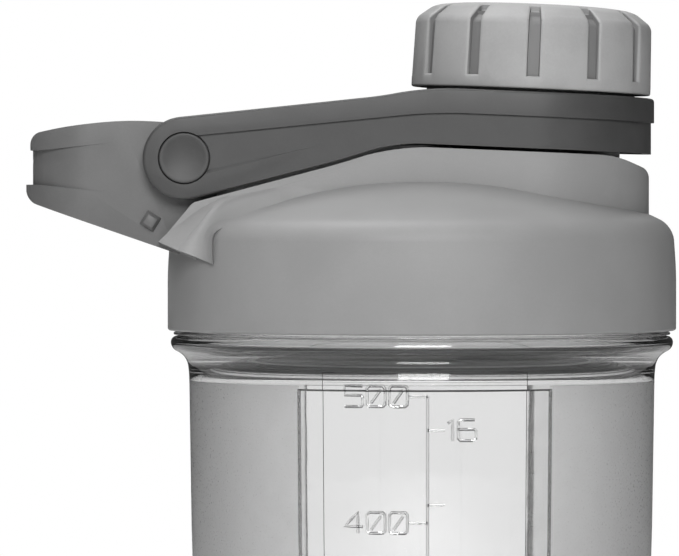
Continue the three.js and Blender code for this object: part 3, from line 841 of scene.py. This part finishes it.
def makeStrap():
    inner, outer, endR = strap["inner"], strap["outer"], strap["endR"]
    low, high, recess = strap["low"], strap["high"], strap["recess"]
    rearX = pivotX - endR - 1
    side = [*arc(pivotX, pivotZ, endR, 96, 285, 36), (ramp["frontX"], ramp["frontZ"] + 0.7, 5),
            (-5, deckAt(-5) + low, 6), (50, deckAt(50) + low), (50, deckAt(50) + high),
            (0.5, deckAt(0.5) + high, 6.5), (-7, 40.6, 3)]
    body = overlap(roundEnded("cap_strap_body", outer, rearX, 15, 50), slab("strapSide", side, "XZ", -30, 30))
    soften(body, strap["edge"], 40, 3)
    # below the step the outside is let in, evenly round the ring and fading out along the arms
    wide = outer + 4
    plan = slab("lowPlan", [(-60, -wide), (spoutX, -wide), (spoutX + wide, -wide), (spoutX + wide, wide),
                            (-60, wide)], "XY", 10, 60)
    half, full = outer - recess, outer + 0.02
    core = slab("core", [(-60, -full), (-40, -full), (-17, -half), (spoutX + half, -half, half),
                         (spoutX + half, half, half), (-17, half), (-40, full), (-60, full)], "XY", 9, 61, 26)
    cut(plan, core)
    overlap(plan, slab("belowStep", [(-60, 10), (60, 10), (60, deckAt(60) + strap["step"]),
                                     (2, deckAt(2) + strap["step"], 5), (-39.7, 33.7), (-60, 31.9)],
                       "XZ", -30, 30))
    # the pocket beside each pin, square above and sloping out below
    ribs = ((outer - recess, 0), (outer + 0.05, 0.75), (outer + 2, 0.8))
    pocket = bothSides(loft("pocket", [[(-40.5, y, 33.62), (-16, y, 35.78), (-13, y, 33.2 - slope / 3),
                                        (-37.8, y, 27.7 - slope),
                                        (-41, y, 27 - slope)] for y, slope in ribs]))
    between = slab("between", [(rearX - 1, -inner), (spoutX, -inner), (spoutX, inner), (rearX - 1, inner)],
                   "XY", 14, 51)
    cut(body, plan, pocket)
    ring = overlap(copyOf(body), onSpout(cut(
        lathe("ringOuter", [(0, -1), (outer + 1, -1), (outer + 1, 20), (0, 20)]),
        lathe("ringInner", [(0, -2), (strap["ringR"], -2), (strap["ringR"], 21), (0, 21)]))))
    cut(body, between)
    join(body, ring)
    boreR, boreZ = strap["counterboreR"], strap["counterboreZ"]
    bore = onSpout(lathe("strapBore", [(0, -5), (boreR, -5), (boreR, boreZ), (strap["ringR"], boreZ),
                                       (strap["ringR"], 20), (0, 20)]))
    heads = bothSides(bar("heads", pin["headR"] + 0.15, outer - pin["headT"] - 0.4, outer + 2,
                          (pivotX, pivotZ)))
    cut(body, bore, bar("pinRoom", pin["r"] + 0.3, -30, 30, (pivotX, pivotZ), 40), heads)
    return onLid(soften(body, 0.12, 45, 2))


finishPiece(makeStrap(), "strap", "cap_strap", mouldedPlastic("strapPlastic", strapLook))
print("strap modelled")

# ---- the screw cap: ribbed grip, liner and seal ----
cap = {"r": 20.9, "low": 10.8, "top": 25.7, "roof": 23.9, "grooves": 12, "stepsEach": 18, "grooveSteps": 5,
       "grooveDepth": 1.0, "grooveLow": 12.5, "grooveInner": 16.4, "phase": -1.2,
       "linerR": 18.2, "linerBore": 17.4, "flangeR": 19.6, "flangeT": 1.3, "linerLow": 1.0, "linerTop": 23.6,
       "linerCeiling": 22.1, "sealR": 16.2, "sealLow": 20.3, "sealHigh": 21.8}


def makeCapGrip():
    r, low, top, steps = cap["r"], cap["low"], cap["top"], cap["grooves"] * cap["stepsEach"]
    piece = lathe("cap_grip_body", [
        (0, cap["roof"]), (cap["linerR"] + 0.1, cap["roof"]), (cap["linerR"] + 0.1, low), (r, low, 0.35),
        (r, cap["grooveLow"]), (r - 0.3, top - 2.9, 0.9), (17.8, top - 0.8, 0.6),
        (cap["grooveInner"], top - 0.4), (13, top, 2), (0, top)], steps)
    sector = math.tau / cap["grooves"]
    width = sector * cap["grooveSteps"] / cap["stepsEach"]

    def inGroove(co, normal):
        around = math.atan2(co.y, co.x) % sector
        away = math.hypot(co.x, co.y)
        outside = normal.z > 0.1 or facesOut(co, normal)
        return outside and around < width and co.z > cap["grooveLow"] and away > cap["grooveInner"]

    pick(piece, "FACE", inGroove)
    # two thin insets round the groove's edge before the deep one
    for thickness, depth in ((0.22, 0.06), (0.18, 0.14), (0.10, cap["grooveDepth"] - 0.2)):
        bpy.ops.mesh.inset(thickness=thickness * mm, depth=-depth * mm)
    bpy.ops.object.mode_set(mode="OBJECT")
    moveTo(piece, turn=(0, 0, math.radians(270 + cap["phase"]) - width / 2))
    return onLid(onSpout(piece))


def makeCapLiner():
    r, bore, low = cap["linerR"], cap["linerBore"], cap["linerLow"]
    piece = lathe("cap_liner_body", [
        (bore, low, 0.2), (cap["flangeR"], low, 0.3), (cap["flangeR"], low + cap["flangeT"], 0.3),
        (r, low + cap["flangeT"], 0.3), (r, cap["linerTop"]), (0, cap["linerTop"]), (0, cap["linerCeiling"]),
        (bore, cap["linerCeiling"], 0.4)], 120)
    join(piece, threadRidge("linerRidge", bore, capThread["linerUp"], capThread["lead"], capThread["turns"],
                            capThread["ridgeR"], -math.pi / 2))
    return onLid(onSpout(piece))


def makeCapSeal():
    low, high, r = cap["sealLow"], cap["sealHigh"], cap["sealR"]
    piece = lathe("cap_seal_body", [(0, low + 0.3), (10.5, low + 0.3, 0.4), (11.5, low, 0.3), (r, low, 0.35),
                                    (r, high, 0.35), (0, high)], 96)
    return onLid(onSpout(piece))


# how far a spot lies in one of the grip's grooves, where painted shade darkens the colour of the recess
def inGrooves(finish):
    x, y, z = (part * (1 / mm) for part in finish.parts(finish.place))
    x, z = x - spoutX, z - (lidFoot + deckZ)
    lean, upright = math.sin(spoutLean), math.cos(spoutLean)
    up, across = x * lean + z * upright, x * upright - z * lean
    away = finish.sum("POWER", across * across + y * y, 0.5)
    # the outside is upright below and slopes in above
    skin = finish.sum("MINIMUM", 51.0 - up * 1.333, cap["r"])
    return finish.smoothStep(skin - away, 0.4, 0.85) * finish.smoothStep(away, 16.9, 17.4)


# the grip's grooves get painted shade: a darker colour laid into the recesses
finishPiece(makeCapGrip(), "cap", "cap_grip",
            mouldedPlastic("capPlastic", capLook, inGrooves), 40)
finishPiece(makeCapLiner(), "cap", "cap_insert", mouldedPlastic("linerPlastic", capLook))
finishPiece(makeCapSeal(), "cap_seal", "cap_seal", mouldedPlastic("capSilicone", sealLook))
print("cap modelled")

# ---- the lid's gasket ----
gasket = {"inner": 37, "outer": 41.6, "low": 14.3, "high": 16.5}


def makeGasket():
    inner, outer, low, high = (gasket[name] for name in ("inner", "outer", "low", "high"))
    middle = (inner + outer) / 2
    return onLid(lathe("lid_gasket_body", [
        (inner, low, 0.6), (middle - 0.5, low, 0.2), (middle, low + 0.4, 0.3), (middle + 0.5, low, 0.2),
        (outer, low, 0.6), (outer, high, 0.6), (inner, high, 0.6)]))


finishPiece(makeGasket(), "lid_gasket", "lid_gasket",
            mouldedPlastic("gasketSilicone", sealLook))

# ---- the agitator that lies on the cup's floor ----
agitator = {"r": 19.75, "height": 33.9, "poleR": 8, "hubR": 6.3, "fins": 8, "finT": 3.6, "nubR": 1.5,
            "floor": 2.4, "voxel": 0.45, "smoothing": 5}


def makeAgitator():
    r, half, poleR, finT = agitator["r"], agitator["height"] / 2, agitator["poleR"], agitator["finT"]
    hub = lathe("agitator_body", [(0, -half), (poleR, -half, 1.2), (agitator["hubR"], -half * 0.55, 4),
                                  (agitator["hubR"], half * 0.55, 4), (poleR, half, 1.2), (0, half)], 64)
    blade = slab("blade", [(0, -half), (poleR + 1, -half, 2), (r, -half * 0.62, 9), (r, half * 0.62, 9),
                           (poleR + 1, half, 2), (0, half)], "XZ", -finT / 2, finT / 2, 10)
    soften(blade, 1.5, 60, 4)
    nub = bar("nub", agitator["nubR"], 0, agitator["hubR"] + 2.6, (0, 0), 20)
    soften(nub, 0.5, 50, 2)
    for k in range(agitator["fins"]):
        turn = k * math.tau / agitator["fins"]
        join(hub, moveTo(copyOf(blade), turn=(0, 0, turn)),
             moveTo(copyOf(nub), turn=(0, 0, turn + math.pi / 8)))
    bpy.data.objects.remove(blade)
    bpy.data.objects.remove(nub)
    applyModifier(hub, "REMESH", mode="VOXEL", voxel_size=agitator["voxel"] * mm)
    applyModifier(hub, "SMOOTH", factor=0.5, iterations=agitator["smoothing"])
    return moveTo(hub, (0, 0, (agitator["floor"] + half) * mm))


finishPiece(makeAgitator(), "agitator", "agitator",
            mouldedPlastic("agitatorPlastic", agitatorLook), 60)
print("gasket and agitator modelled")
